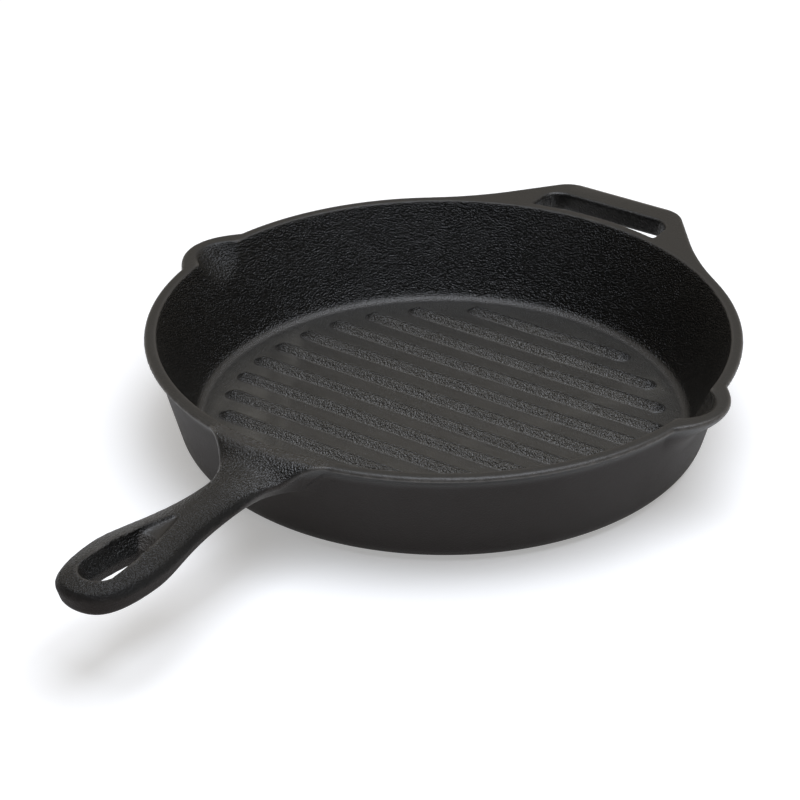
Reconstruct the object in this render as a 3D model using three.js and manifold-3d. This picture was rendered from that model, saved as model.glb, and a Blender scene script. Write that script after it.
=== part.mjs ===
// Round cast iron grill pan: a deep bowl with two pour lips, a long handle with an egg-shaped
// hanging hole, a short helper handle with a finger slot, and raised grill ribs on the floor.
// Millimetres, +Z up. The origin is the centre of the flat underside. The long handle points
// along -X, the helper handle along +X, the pour lips along +Y and -Y, and the ribs run along Y.

import * as THREE from 'three';
import { mergeVertices } from 'three/addons/utils/BufferGeometryUtils.js';
import Module from 'manifold-3d';

const wasm = await Module();
wasm.setup();

// Bowl
const rimRadius = 130;
const panHeight = 48.5;
const rimWidth = 5.2;
const rimOverhang = 4.4; // rim past the top of the outer wall
const rimFlareHeight = 7; // rim down to where the outer wall starts to flare
const rimEdgeRadius = 1.6; // outer edge
const rimInnerRadius = 0.8; // inner edge
const outerDraft = 15; // degrees that the outer wall leans out
const innerDraft = 20; // degrees that the inner wall leans out
const floorThickness = 4.5;
const baseCornerRadius = 10;
const floorCornerRadius = 5.5;

// Pour lips
const lipReach = 8.3; // past the rim
const lipRadius = 20;
const lipBlendRadius = 18; // hollow curve between lip and rim
const lipFaceHeight = 4.5;
const lipDepth = 14; // below the rim, where the lip runs out into the wall
const scoopRadius = 19;
const scoopDepth = 13;

// Grill ribs
const ribPitch = 16;
const ribHeight = 2.3;
const ribFootWidth = 9;
const ribTopWidth = 2.6;
const ribCrown = 0.4; // height of the rounded top
const ribEndGap = 6.4; // rib ends to the start of the floor's round corner

// Long handle
const handleLength = 117.5; // rim to tip
const bulbThickness = 10.4;
const waistThickness = 7.7;
const bulbDrop = 3.6; // edge of the top face below the rim, at the widest place
const waistDrop = 6.3;
const bulbCrown = 3.6; // rise of the rounded top face above its edge
const waistCrown = 2;
const crownSetback = 28; // tip to the start of the crown's ridge
const bulbHalfWidth = 18;
const bulbLength = 31; // tip to widest place
const waistHalfWidth = 10.7;
const rootLength = 26; // waist to rim
const rootRise = 10; // stretch next to the rim in which the top face climbs to it
const rootHalfWidth = 30; // spread along the rim
const rootFootHalfWidth = 17; // spread of the underside
const rootSag = 3.5; // underside at the wall below the underside at the waist
const partingDepth = 2.6; // top face down to the widest line of the side
const rootPartingDepth = 0.9;
const topInset = 1.8;
const lowerInset = 1.6;
const lowerRound = 2.4;
const bottomInset = 4.4;

// Hanging hole: a slim end towards the pan, where a shallow ramp runs down to the opening
const holeSetback = 8.3; // tip of the handle to the blunt end of the hole
const holeLength = 54.7;
const holeHalfWidth = 8.9;
const holeSlimHalfWidth = 1.2;
const holeEdgeInset = 0.35;
const holeEdgeDepth = 0.9;
const holeRampInset = 0.9; // narrowing at the foot of the ramp
const holeRampDepth = 2.8;
const holeRampLength = 17;
const holeWaistInset = 4.1; // narrowing at half thickness
const holeWaistSetback = 21; // end at half thickness, back from the slim end at the top
const holeFootInset = 2.5; // narrowing at the underside
const holeFootSetback = 13;

// Helper handle
const helperLength = 26.2; // rim to outer edge
const helperThickness = 9.3;
const helperBarWidth = 13.1;
const helperHalfEdge = 30; // half length of the outer edge, measured to the corner points
const helperSideAngle = 38; // degrees between a side and X
const helperCornerCut = 7;
const helperBlend = 20; // legs of the curve that runs from a side into the rim
const slotEndWidth = 7.5; // metal between the slot and a side, along Y
const slotCornerRadius = 8.5;
const helperEdgeRound = 1.4;

// Fit between neighbouring solids, and reach of cutters past a face
const fitClearance = 0.3;
const cutMargin = 6;

// Facets
const aroundSteps = 120;
const cornerSteps = 6;
const curveSteps = 9;
const flareSteps = 3;

const outerLean = THREE.MathUtils.degToRad(outerDraft);
const innerLean = THREE.MathUtils.degToRad(innerDraft);
const outerSlope = Math.tan(outerLean);
const innerRim = rimRadius - rimWidth;
const handleReach = rimRadius + handleLength;
const helperReach = rimRadius + helperLength;
const castIronColour = 0x2a2928;

// Booleans

function toSolid(geometry) {
  const bare = geometry.clone();
  bare.deleteAttribute('normal');
  bare.deleteAttribute('uv');
  const merged = mergeVertices(bare, 1e-4);
  const corners = merged.index.array;
  const kept = [];
  for (let i = 0; i < corners.length; i += 3) {
    const [a, b, c] = corners.slice(i, i + 3);
    if (a !== b && b !== c && c !== a) {
      kept.push(a, b, c);
    }
  }
  const vertProperties = merged.attributes.position.array;
  return new wasm.Manifold(new wasm.Mesh({ numProp: 3, vertProperties, triVerts: Uint32Array.from(kept) }));
}

function toGeometry(solid) {
  const mesh = solid.getMesh();
  const geometry = new THREE.BufferGeometry();
  geometry.setAttribute('position', new THREE.BufferAttribute(mesh.vertProperties, 3));
  geometry.setIndex(new THREE.BufferAttribute(mesh.triVerts, 1));
  geometry.computeVertexNormals();
  return geometry;
}

function revolve(profile) {
  return new THREE.LatheGeometry(profile, aroundSteps).rotateX(Math.PI / 2);
}

// A solid through rings of points. Rings follow each other upwards and run anticlockwise
// seen from above, and capTriangles joins the points of one ring into a face.
function loft(rings, capTriangles) {
  const count = rings[0].length;
  const last = (rings.length - 1) * count;
  const indices = [];
  for (let start = 0; start < last; start += count) {
    for (let i = 0; i < count; i++) {
      const a = start + i;
      const b = start + ((i + 1) % count);
      indices.push(a, b, b + count, a, b + count, a + count);
    }
  }
  for (const [a, b, c] of capTriangles) {
    indices.push(c, b, a, last + a, last + b, last + c);
  }
  const geometry = new THREE.BufferGeometry().setFromPoints(rings.flat());
  geometry.setIndex(indices);
  geometry.computeVertexNormals();
  return geometry;
}

function ringAt(outline, z) {
  return outline.map((point) => new THREE.Vector3(point.x, point.y, z));
}

function capOf(outline) {
  return THREE.ShapeUtils.triangulateShape(outline, []);
}

function arc(centre, radius, start, end, steps) {
  return new THREE.EllipseCurve(centre.x, centre.y, radius, radius, start, end, end < start).getPoints(steps);
}

// Bowl

// Radius of the flat bottom below a wall that leans out to topRadius at topZ
function flatRadius(topRadius, topZ, bottomZ, lean, cornerRadius) {
  const cornerTop = bottomZ + cornerRadius * (1 - Math.sin(lean));
  return topRadius - cornerRadius * Math.cos(lean) - (topZ - cornerTop) * Math.tan(lean);
}

// That flat bottom and the round corner at the wall's foot
function bowlFoot(topRadius, topZ, bottomZ, lean, cornerRadius) {
  const flat = flatRadius(topRadius, topZ, bottomZ, lean, cornerRadius);
  const centre = new THREE.Vector2(flat, bottomZ + cornerRadius);
  return [new THREE.Vector2(0, bottomZ), ...arc(centre, cornerRadius, -Math.PI / 2, -lean, cornerSteps)];
}

// Outside of the bowl up to the rim's edge, moved outwards by grow
function outerSide(grow) {
  const flareZ = panHeight - rimFlareHeight;
  const across = grow / Math.cos(outerLean);
  const start = new THREE.Vector2(rimRadius - rimOverhang + across, flareZ);
  const end = new THREE.Vector2(rimRadius + across, panHeight - rimEdgeRadius);
  const bendZ = (flareZ + end.y) / 2;
  const bend = new THREE.Vector2(start.x + (bendZ - flareZ) * outerSlope, bendZ);
  const foot = bowlFoot(start.x, flareZ, -grow, outerLean, baseCornerRadius + grow);
  return [...foot, ...new THREE.QuadraticBezierCurve(start, bend, end).getPoints(flareSteps)];
}

function bowlBody() {
  const centre = new THREE.Vector2(rimRadius - rimEdgeRadius, panHeight - rimEdgeRadius);
  const edge = arc(centre, rimEdgeRadius, 0, Math.PI / 2, flareSteps);
  return toSolid(revolve([...outerSide(0), ...edge.slice(1), new THREE.Vector2(0, panHeight)]));
}

function bowlCavity() {
  const edgeZ = panHeight - rimInnerRadius;
  const wallRadius = innerRim - rimInnerRadius * Math.tan(innerLean);
  const centre = new THREE.Vector2(wallRadius + rimInnerRadius / Math.cos(innerLean), edgeZ);
  const edge = arc(centre, rimInnerRadius, Math.PI - innerLean, Math.PI / 2, flareSteps);
  const foot = bowlFoot(innerRim, panHeight, floorThickness, innerLean, floorCornerRadius);
  const top = panHeight + cutMargin;
  return toSolid(revolve([...foot, ...edge, new THREE.Vector2(centre.x, top), new THREE.Vector2(0, top)]));
}

// The outside of the bowl grown by the fit clearance, which trims the roots of both handles
function bowlTrim() {
  const side = outerSide(fitClearance);
  const top = panHeight + cutMargin;
  return toSolid(revolve([...side, new THREE.Vector2(side.at(-1).x, top), new THREE.Vector2(0, top)]));
}

// Plan outline of the +Y lip: a round nose with a hollow curve to the rim on both sides
function lipOutline() {
  const noseCentre = new THREE.Vector2(0, rimRadius + lipReach - lipRadius);
  const blendDistance = rimRadius + lipBlendRadius;
  const noseDistance = lipRadius + lipBlendRadius;
  const spread = Math.acos(
    (noseCentre.y ** 2 + blendDistance ** 2 - noseDistance ** 2) / (2 * noseCentre.y * blendDistance),
  );
  const blendCentre = new THREE.Vector2(blendDistance * Math.sin(spread), blendDistance * Math.cos(spread));
  const towardsNose = Math.atan2(noseCentre.y - blendCentre.y, noseCentre.x - blendCentre.x);
  const towardsRim = Math.atan2(-blendCentre.y, -blendCentre.x);
  const noseStart = Math.atan2(blendCentre.y - noseCentre.y, blendCentre.x - noseCentre.x);
  const blend = arc(blendCentre, lipBlendRadius, towardsRim, towardsNose, cornerSteps);
  const nose = arc(noseCentre, lipRadius, noseStart, Math.PI - noseStart, curveSteps);
  const mirrored = blend.map((point) => new THREE.Vector2(-point.x, point.y)).reverse();
  const inside = blend[0].y - rimWidth;
  const heel = [new THREE.Vector2(-blend[0].x, inside), new THREE.Vector2(blend[0].x, inside)];
  return [...blend.slice(0, -1), ...nose, ...mirrored.slice(1), ...heel];
}

// A short upright face under the rim, then a slope back into the wall
function lipSolid() {
  const outline = lipOutline();
  const backAt = (depth) => {
    const slope = (lipReach + rimOverhang) / (lipDepth - lipFaceHeight);
    return Math.max(depth - lipFaceHeight, 0) * slope + depth * outerSlope;
  };
  const end = lipDepth + rimWidth / 4;
  const rings = [end, lipFaceHeight, 0].map((depth) => {
    const moved = outline.map((point) => new THREE.Vector2(point.x, point.y - backAt(depth)));
    return ringAt(moved, panHeight - depth);
  });
  return toSolid(loft(rings, capOf(outline)));
}

// A round gutter cut into the wall, leaning out to the nose of the lip
function scoopSolid() {
  const topY = rimRadius + lipReach - rimWidth;
  const bottomY = innerRim - scoopDepth * Math.tan(innerLean);
  const tilt = Math.atan2(topY - bottomY, scoopDepth);
  const length = scoopDepth / Math.cos(tilt) + 2 * (scoopRadius + cutMargin);
  const gutter = new THREE.CylinderGeometry(scoopRadius, scoopRadius, length, 40);
  gutter.rotateX(Math.PI / 2 - tilt);
  const middleY = (topY + bottomY) / 2 - scoopRadius * Math.cos(tilt);
  const middleZ = panHeight - scoopDepth / 2 + scoopRadius * Math.sin(tilt);
  gutter.translate(0, middleY, middleZ);
  return toSolid(gutter);
}

function bowlGeometry() {
  const lip = lipSolid();
  const scoop = scoopSolid();
  const halfTurn = [0, 0, 180];
  const outside = bowlBody().add(lip).add(lip.rotate(halfTurn));
  return toGeometry(outside.subtract(bowlCavity()).subtract(scoop).subtract(scoop.rotate(halfTurn)));
}

// Grill ribs

function ribOutline(width, halfLength) {
  const radius = width / 2;
  const far = arc(new THREE.Vector2(0, halfLength - radius), radius, 0, Math.PI, cornerSteps);
  const near = arc(new THREE.Vector2(0, radius - halfLength), radius, Math.PI, 2 * Math.PI, cornerSteps);
  return [...far, ...near];
}

// The rib ends lie on a circle inside the round corner of the floor
const floorRadius = flatRadius(innerRim, panHeight, floorThickness, innerLean, floorCornerRadius);
const ribEndRadius = floorRadius - ribEndGap;
const ribsPerSide = Math.floor((ribEndRadius - ribFootWidth) / ribPitch + 0.5);

function ribGeometry(x) {
  const halfLength = Math.sqrt(ribEndRadius ** 2 - x ** 2);
  const slope = (ribFootWidth - ribTopWidth) / 2;
  const levels = [
    [ribFootWidth, halfLength, 0],
    [ribTopWidth, halfLength - slope, ribHeight - ribCrown],
    [ribTopWidth - 2 * ribCrown, halfLength - slope - ribCrown, ribHeight],
  ];
  const rings = levels.map(([width, reach, z]) => ringAt(ribOutline(width, reach), z));
  return loft(rings, capOf(ribOutline(ribFootWidth, halfLength)));
}

// Long handle

// One side of the handle's plan, from the tip to the rim, as points with outward normals
function handleSide(rootY) {
  const tip = new THREE.Vector2(-handleReach, 0);
  const bulb = new THREE.Vector2(bulbLength - handleReach, bulbHalfWidth);
  const waist = new THREE.Vector2(-rimRadius - rootLength, waistHalfWidth);
  const root = new THREE.Vector2(-Math.sqrt(rimRadius ** 2 - rootHalfWidth ** 2), rootY);
  const shank = waist.x - bulb.x;
  const curves = [
    new THREE.CubicBezierCurve(
      tip,
      new THREE.Vector2(tip.x, bulbHalfWidth * 0.74),
      new THREE.Vector2(bulb.x - bulbLength * 0.66, bulb.y),
      bulb,
    ),
    new THREE.CubicBezierCurve(
      bulb,
      new THREE.Vector2(bulb.x + shank * 0.25, bulb.y),
      new THREE.Vector2(waist.x - shank * 0.58, waist.y),
      waist,
    ),
    new THREE.CubicBezierCurve(
      waist,
      new THREE.Vector2(waist.x + rootLength * 0.42, waist.y),
      new THREE.Vector2(root.x - rootLength * 0.32, root.y * 0.5),
      root,
    ),
  ];
  return curves.flatMap((curve, part) => {
    const side = [];
    const steps = part < 2 ? curveSteps : 2 * curveSteps;
    for (let step = part ? 1 : 0; step <= steps; step++) {
      const point = curve.getPoint(step / steps);
      const tangent = curve.getTangent(step / steps);
      side.push({ point, normal: new THREE.Vector2(-tangent.y, tangent.x) });
    }
    return side;
  });
}

// Heights of the edge of the top face, of the crown above it, of the widest line and of the underside
function handleHeights(x, y) {
  const waistX = -rimRadius - rootLength;
  const bulbX = bulbLength - handleReach;
  const shank = THREE.MathUtils.smoothstep(x, bulbX, waistX);
  const drop = THREE.MathUtils.lerp(bulbDrop, waistDrop, shank);
  const thickness = THREE.MathUtils.lerp(bulbThickness, waistThickness, shank);
  const crown = THREE.MathUtils.lerp(bulbCrown, waistCrown, shank);
  const fall = THREE.MathUtils.smoothstep(Math.hypot(x, y), rimRadius, rimRadius + rootRise);
  const root = THREE.MathUtils.smoothstep(x, waistX, -innerRim);
  const edge = panHeight - drop * fall;
  const parting = edge - THREE.MathUtils.lerp(partingDepth, rootPartingDepth, root);
  return { edge, crown: crown * fall, parting, bottom: panHeight - drop - thickness - rootSag * root };
}

// A ring of the handle, which ends square inside the wall to be trimmed by the bowl. It lies inside
// the side's outline by inset, and towardsRidge moves it to the ridge along the middle (1).
function handleRing(side, inset, towardsRidge, heightAt) {
  const ridgeStart = crownSetback - handleReach;
  const half = side.map(({ point, normal }) => point.clone().addScaledVector(normal, -inset));
  half.push(half.at(-1).clone().setX(half.at(-1).x + rootLength));
  const moved = half.map((point) => {
    const ridge = new THREE.Vector2(Math.max(point.x, ridgeStart), 0);
    return point.clone().lerp(ridge, towardsRidge);
  });
  const place = (point, y) => new THREE.Vector3(point.x, y, heightAt(handleHeights(point.x, y)));
  const right = moved.map((point) => place(point, -point.y));
  const left = moved.slice(1).map((point) => place(point, point.y));
  return [...right, ...left.reverse()];
}

// Face across the handle: strips between matching points of its two sides
function handleCap(count) {
  const steps = (count - 1) / 2;
  const opposite = (i) => count - i;
  const triangles = [[0, 1, opposite(1)]];
  for (let i = 1; i < steps; i++) {
    triangles.push([i, i + 1, opposite(i + 1)], [i, opposite(i + 1), opposite(i)]);
  }
  return triangles;
}

function handleSolid() {
  const upper = handleSide(rootHalfWidth);
  const lower = handleSide(rootFootHalfWidth);
  const crownRing = (towardsRidge) => {
    const rise = 1 - (1 - towardsRidge) ** 2;
    return handleRing(upper, topInset, towardsRidge, ({ edge, crown }) => edge + crown * rise);
  };
  const rings = [
    handleRing(lower, bottomInset, 0, ({ bottom }) => bottom),
    handleRing(lower, lowerInset, 0, ({ bottom }) => bottom + lowerRound),
    handleRing(upper, 0, 0, ({ parting }) => parting),
    ...[0, 0.25, 0.5, 0.8].map(crownRing),
  ];
  return toSolid(loft(rings, handleCap(rings[0].length)));
}

// Egg-shaped outline from its slim end round the blunt end, inside the hole's by inset. The slim end
// is moved back by setback, and what lies past cut is folded into a blunt end there.
function eggOutline(inset, setback, cut) {
  const startX = holeSetback - handleReach;
  const endX = startX + holeLength - setback;
  const halfWidth = holeHalfWidth - inset;
  const middle = new THREE.Vector2(startX + inset + halfWidth, 0);
  const run = endX - middle.x;
  const flank = new THREE.CubicBezierCurve(
    new THREE.Vector2(endX - holeSlimHalfWidth / 2, holeSlimHalfWidth),
    new THREE.Vector2(endX - run * 0.24, halfWidth * 0.53),
    new THREE.Vector2(middle.x + run * 0.41, halfWidth * 0.98),
    new THREE.Vector2(middle.x, halfWidth),
  );
  const blunt = arc(middle, halfWidth, Math.PI / 2, Math.PI, cornerSteps);
  const half = [...flank.getPoints(curveSteps).slice(0, -1), ...blunt];
  const mirrored = half.slice(0, -1).map((point) => new THREE.Vector2(point.x, -point.y));
  const outline = [new THREE.Vector2(endX, 0), ...half, ...mirrored.reverse()];
  const cutX = startX + holeLength - cut;
  return outline.map(({ x, y }) => new THREE.Vector2(x > cutX ? cutX + (x - cutX) / 10 : x, y));
}

// The hole narrows to half thickness and opens a little below. Its upper part follows the top face.
function hangingHole() {
  const bottom = panHeight - bulbDrop - bulbThickness;
  const wide = eggOutline(0, 0, 0);
  const edge = eggOutline(holeEdgeInset, holeEdgeInset, 0);
  const ramp = eggOutline(holeRampInset, 0, holeRampLength);
  const waist = eggOutline(holeWaistInset, holeFootSetback, holeWaistSetback);
  const foot = eggOutline(holeFootInset, holeFootSetback, 0);
  const belowTop = (outline, depth) => {
    return outline.map(({ x, y }) => {
      const { edge, crown } = handleHeights(x, 0);
      return new THREE.Vector3(x, y, edge + crown - depth);
    });
  };
  const rings = [
    ringAt(foot, bottom - cutMargin),
    ringAt(foot, bottom),
    ringAt(waist, bottom + bulbThickness / 2),
    belowTop(ramp, holeRampDepth),
    belowTop(edge, holeEdgeDepth),
    belowTop(wide, 0),
    belowTop(wide, -cutMargin),
  ];
  return toSolid(loft(rings, capOf(wide)));
}

function longHandleGeometry(trim) {
  return toGeometry(handleSolid().subtract(hangingHole()).subtract(trim));
}

// Helper handle

// A bar between two slanting sides, each of which curves into the rim
function helperShape() {
  const slope = THREE.MathUtils.degToRad(helperSideAngle);
  const corner = new THREE.Vector2(helperReach, helperHalfEdge);
  const along = new THREE.Vector2(-Math.cos(slope), Math.sin(slope));
  const inwards = -corner.dot(along);
  const bendSquared = rimRadius ** 2 + helperBlend ** 2;
  const toBend = inwards - Math.sqrt(inwards ** 2 - corner.lengthSq() + bendSquared);
  const bend = corner.clone().addScaledVector(along, toBend);
  const sideEnd = corner.clone().addScaledVector(along, toBend - helperBlend);
  const rootAt = bend.angle() + Math.atan(helperBlend / rimRadius);
  const root = new THREE.Vector2(rimRadius * Math.cos(rootAt), rimRadius * Math.sin(rootAt));
  const cornerStart = corner.clone().addScaledVector(along, helperCornerCut);
  const inside = root.x - 3 * rimWidth;

  const shape = new THREE.Shape();
  shape.moveTo(inside, -root.y);
  shape.lineTo(root.x, -root.y);
  shape.quadraticCurveTo(bend.x, -bend.y, sideEnd.x, -sideEnd.y);
  shape.lineTo(cornerStart.x, -cornerStart.y);
  shape.quadraticCurveTo(corner.x, -corner.y, corner.x, helperCornerCut - corner.y);
  shape.lineTo(corner.x, corner.y - helperCornerCut);
  shape.quadraticCurveTo(corner.x, corner.y, cornerStart.x, cornerStart.y);
  shape.lineTo(sideEnd.x, sideEnd.y);
  shape.quadraticCurveTo(bend.x, bend.y, root.x, root.y);
  shape.lineTo(inside, root.y);

  const slotOuter = helperReach - helperBarWidth;
  const slotHalfLength = helperHalfEdge + helperBarWidth * Math.tan(slope) - slotEndWidth;
  const roundX = slotOuter - slotCornerRadius;
  const roundY = slotHalfLength - slotCornerRadius;
  const slot = new THREE.Path();
  slot.moveTo(root.x, slotHalfLength);
  slot.lineTo(roundX, slotHalfLength);
  slot.absarc(roundX, roundY, slotCornerRadius, Math.PI / 2, 0, true);
  slot.lineTo(slotOuter, -roundY);
  slot.absarc(roundX, -roundY, slotCornerRadius, 0, -Math.PI / 2, true);
  slot.lineTo(root.x, -slotHalfLength);
  shape.holes.push(slot);
  return shape;
}

function helperGeometry(trim) {
  const plate = new THREE.ExtrudeGeometry(helperShape(), {
    depth: helperThickness - 2 * helperEdgeRound,
    curveSegments: cornerSteps,
    bevelThickness: helperEdgeRound,
    bevelSize: helperEdgeRound,
    bevelOffset: -helperEdgeRound,
    bevelSegments: 2,
  });
  plate.translate(0, 0, panHeight - helperThickness + helperEdgeRound);
  return toGeometry(toSolid(plate).subtract(trim));
}

// Assembly

function castPiece(name, geometry, roughness) {
  const material = new THREE.MeshStandardMaterial({ color: castIronColour, roughness, metalness: 0.4 });
  const piece = new THREE.Mesh(geometry, material);
  piece.name = name;
  return piece;
}

const trim = bowlTrim();
const pan = new THREE.Group();
pan.add(castPiece('pan_bowl', bowlGeometry(), 0.62));
pan.add(castPiece('long_handle', longHandleGeometry(trim), 0.55));
pan.add(castPiece('helper_handle', helperGeometry(trim), 0.55));

const ribs = new THREE.Group();
ribs.position.z = floorThickness;
for (let i = 0; i < 2 * ribsPerSide; i++) {
  const x = (i - ribsPerSide + 0.5) * ribPitch;
  const rib = castPiece(`grill_rib_${String(i + 1).padStart(2, '0')}`, ribGeometry(x), 0.6);
  rib.position.x = x;
  ribs.add(rib);
}
pan.add(ribs);

export default pan;
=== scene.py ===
# Seasoned cast iron grill pan: bowl and handles in one casting, with raised ribs on the floor.

import bpy
import numpy as np
from math import atan, atan2, cos, pi, radians, sin, sqrt, tan
from mathutils import Matrix, Vector


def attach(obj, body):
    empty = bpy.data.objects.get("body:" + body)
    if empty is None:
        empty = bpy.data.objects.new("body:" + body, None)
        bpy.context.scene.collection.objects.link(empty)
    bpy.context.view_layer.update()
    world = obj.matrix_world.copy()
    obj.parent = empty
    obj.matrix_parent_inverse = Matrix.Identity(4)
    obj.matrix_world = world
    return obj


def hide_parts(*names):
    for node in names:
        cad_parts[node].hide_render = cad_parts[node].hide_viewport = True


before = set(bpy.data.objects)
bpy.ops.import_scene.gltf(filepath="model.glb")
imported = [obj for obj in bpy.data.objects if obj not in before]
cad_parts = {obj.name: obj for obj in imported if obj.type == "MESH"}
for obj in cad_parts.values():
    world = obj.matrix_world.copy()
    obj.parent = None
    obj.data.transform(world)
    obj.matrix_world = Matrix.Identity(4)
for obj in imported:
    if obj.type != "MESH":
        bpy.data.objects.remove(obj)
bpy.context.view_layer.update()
mm = 0.001
print("frame loaded:", len(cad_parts), "nodes")


# Small tools

def hexToLinear(code):
    channels = [int(code[i:i + 2], 16) / 255 for i in (1, 3, 5)]
    linear = [c / 12.92 if c <= 0.04045 else ((c + 0.055) / 1.055) ** 2.4 for c in channels]
    return (*linear, 1.0)


def addNode(tree, kind, settings=None, inputs=None):
    node = tree.nodes.new(kind)
    for name, value in (settings or {}).items():
        setattr(node, name, value)
    for name, value in (inputs or {}).items():
        if hasattr(value, "is_output"):
            tree.links.new(value, node.inputs[name])
        else:
            node.inputs[name].default_value = value
    return node


def smoothStep(x, low, high):
    t = np.clip((x - low) / (high - low), 0, 1)
    return t * t * (3 - 2 * t)


def fadeOut(x, low, high):
    return 1 - smoothStep(x, low, high)


def band(x, low, full, fade, end):
    return smoothStep(x, low, full) * fadeOut(x, fade, end)


def arcPoints(x, z, radius, start, end, steps):
    angles = [radians(start + (end - start) * i / steps) for i in range(steps + 1)]
    return [(x + radius * cos(a), z + radius * sin(a)) for a in angles]


def bezierPoints(points, steps):
    # point and tangent along a curve with two or three legs
    out = []
    for i in range(steps + 1):
        t = i / steps
        rest = [Vector(p) for p in points]
        while len(rest) > 2:
            rest = [a.lerp(b, t) for a, b in zip(rest, rest[1:])]
        out.append((rest[0].lerp(rest[1], t), (rest[1] - rest[0]).normalized()))
    return out


def makeObject(name, vertices, faces):
    mesh = bpy.data.meshes.new(name)
    mesh.from_pydata([Vector(v) * mm for v in vertices], [], faces)
    mesh.validate()
    obj = bpy.data.objects.new(name, mesh)
    bpy.context.scene.collection.objects.link(obj)
    return obj


def bakeModifiers(obj):
    # swap the mesh for the one that the modifiers give
    bpy.context.view_layer.update()
    shaped = obj.evaluated_get(bpy.context.evaluated_depsgraph_get())
    old = obj.data
    obj.data = bpy.data.meshes.new_from_object(shaped)
    obj.modifiers.clear()
    bpy.data.meshes.remove(old)


def cutAway(obj, cutter):
    cut = obj.modifiers.new("cut", "BOOLEAN")
    cut.object = cutter
    cut.operation = "DIFFERENCE"
    cut.solver = "MANIFOLD"
    bakeModifiers(obj)


# Bowl: a turned profile, pushed out at both pour lips

bowl = {
    "rimRadius": 130.0,
    "height": 48.5,
    "rimWidth": 5.2,
    "overhang": 4.4,
    "flareHeight": 7.0,
    "outerEdge": 1.6,
    "innerEdge": 0.8,
    "outerDraft": 15.0,
    "innerDraft": 20.0,
    "floor": 4.5,
    "baseCorner": 10.0,
    "floorCorner": 5.5,
    "lipReach": 8.3,
    "lipRadius": 20.0,
    "lipFace": 4.5,
    "lipDepth": 14.0,
    "lipBlend": 13.0,
    "lipFaceBlend": 3.0,
    "lipSpan": 15,  # degrees on either side of a lip that get finer steps
    "lipZone": 24.0,  # below the rim, past the lowest point that a lip moves
    "scoopRadius": 19.0,
    "scoopDepth": 13.0,
    "scoopBlend": 1.6,
    "coreInset": 1.5,  # from the outer wall to the body that trims the handles
    "coreRimInset": 2.6,
    "coreFlare": 4.0,
    "coreHeight": 70.0,
}
rimRadius = bowl["rimRadius"]
panHeight = bowl["height"]


def footCentre(topRadius, topZ, bottomZ, draft, corner):
    lean = radians(draft)
    cornerTop = bottomZ + corner * (1 - sin(lean))
    return topRadius - corner * cos(lean) - (topZ - cornerTop) * tan(lean), bottomZ + corner


def bowlProfile():
    # radius, height and outerness, from the middle of the base over the rim to the middle of the floor
    flatSteps, wallSteps, inSteps = 30, 14, 18
    wallTop = rimRadius - bowl["overhang"]
    flareZ = panHeight - bowl["flareHeight"]
    edgeZ = panHeight - bowl["outerEdge"]
    slope = tan(radians(bowl["outerDraft"]))
    baseX, baseZ = footCentre(wallTop, flareZ, 0, bowl["outerDraft"], bowl["baseCorner"])
    base = [(baseX * i / flatSteps, 0.0) for i in range(1, flatSteps)]
    corner = arcPoints(baseX, baseZ, bowl["baseCorner"], -90, -bowl["outerDraft"], 10)
    low = corner[-1]
    wall = [(low[0] + (wallTop - low[0]) * i / wallSteps, low[1] + (flareZ - low[1]) * i / wallSteps)
            for i in range(1, wallSteps)]
    bendZ = (flareZ + edgeZ) / 2
    bend = (wallTop + (bendZ - flareZ) * slope, bendZ)
    flare = [tuple(p) for p, _ in bezierPoints([(wallTop, flareZ), bend, (rimRadius, edgeZ)], 8)]
    edge = arcPoints(rimRadius - bowl["outerEdge"], edgeZ, bowl["outerEdge"], 0, 90, 6)[1:]
    outer = base + corner + wall + flare + edge

    innerTop = rimRadius - bowl["rimWidth"]
    lean = radians(bowl["innerDraft"])
    soft = bowl["innerEdge"]
    innerX = innerTop - soft * tan(lean) + soft / cos(lean)
    inEdge = arcPoints(innerX, panHeight - soft, soft, 90, 180 - bowl["innerDraft"], 5)
    floorX, floorZ = footCentre(innerTop, panHeight, bowl["floor"], bowl["innerDraft"], bowl["floorCorner"])
    fillet = arcPoints(floorX, floorZ, bowl["floorCorner"], -bowl["innerDraft"], -90, 10)
    top = inEdge[-1]
    inWall = [(top[0] + (fillet[0][0] - top[0]) * i / inSteps, top[1] + (fillet[0][1] - top[1]) * i / inSteps)
              for i in range(1, inSteps)]
    floor = [(floorX * (flatSteps - i) / flatSteps, bowl["floor"]) for i in range(1, flatSteps)]
    inner = inEdge + inWall + fillet + floor
    profile = [(r, z, 1.0) for r, z in outer] + [(r, z, 0.0) for r, z in inner]
    flareLine = [(z, r) for r, z in flare] + [(panHeight + 1, rimRadius)]
    return profile, flareLine


def softMax(a, b, blend):
    h = np.clip(blend - np.abs(a - b), 0, None) / blend
    return np.maximum(a, b) + h * h * blend / 4


def ellipseReach(angle, centre, halfX, halfY):
    # distance from the pan's axis to the far side of an ellipse centred on the lip's line
    a = (np.sin(angle) / halfX) ** 2 + (np.cos(angle) / halfY) ** 2
    b = np.cos(angle) * centre / halfY ** 2
    c = (centre / halfY) ** 2 - 1
    root = b * b - a * c
    return np.where(root > 0, (b + np.sqrt(np.clip(root, 0, None))) / a, 0.0)


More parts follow.
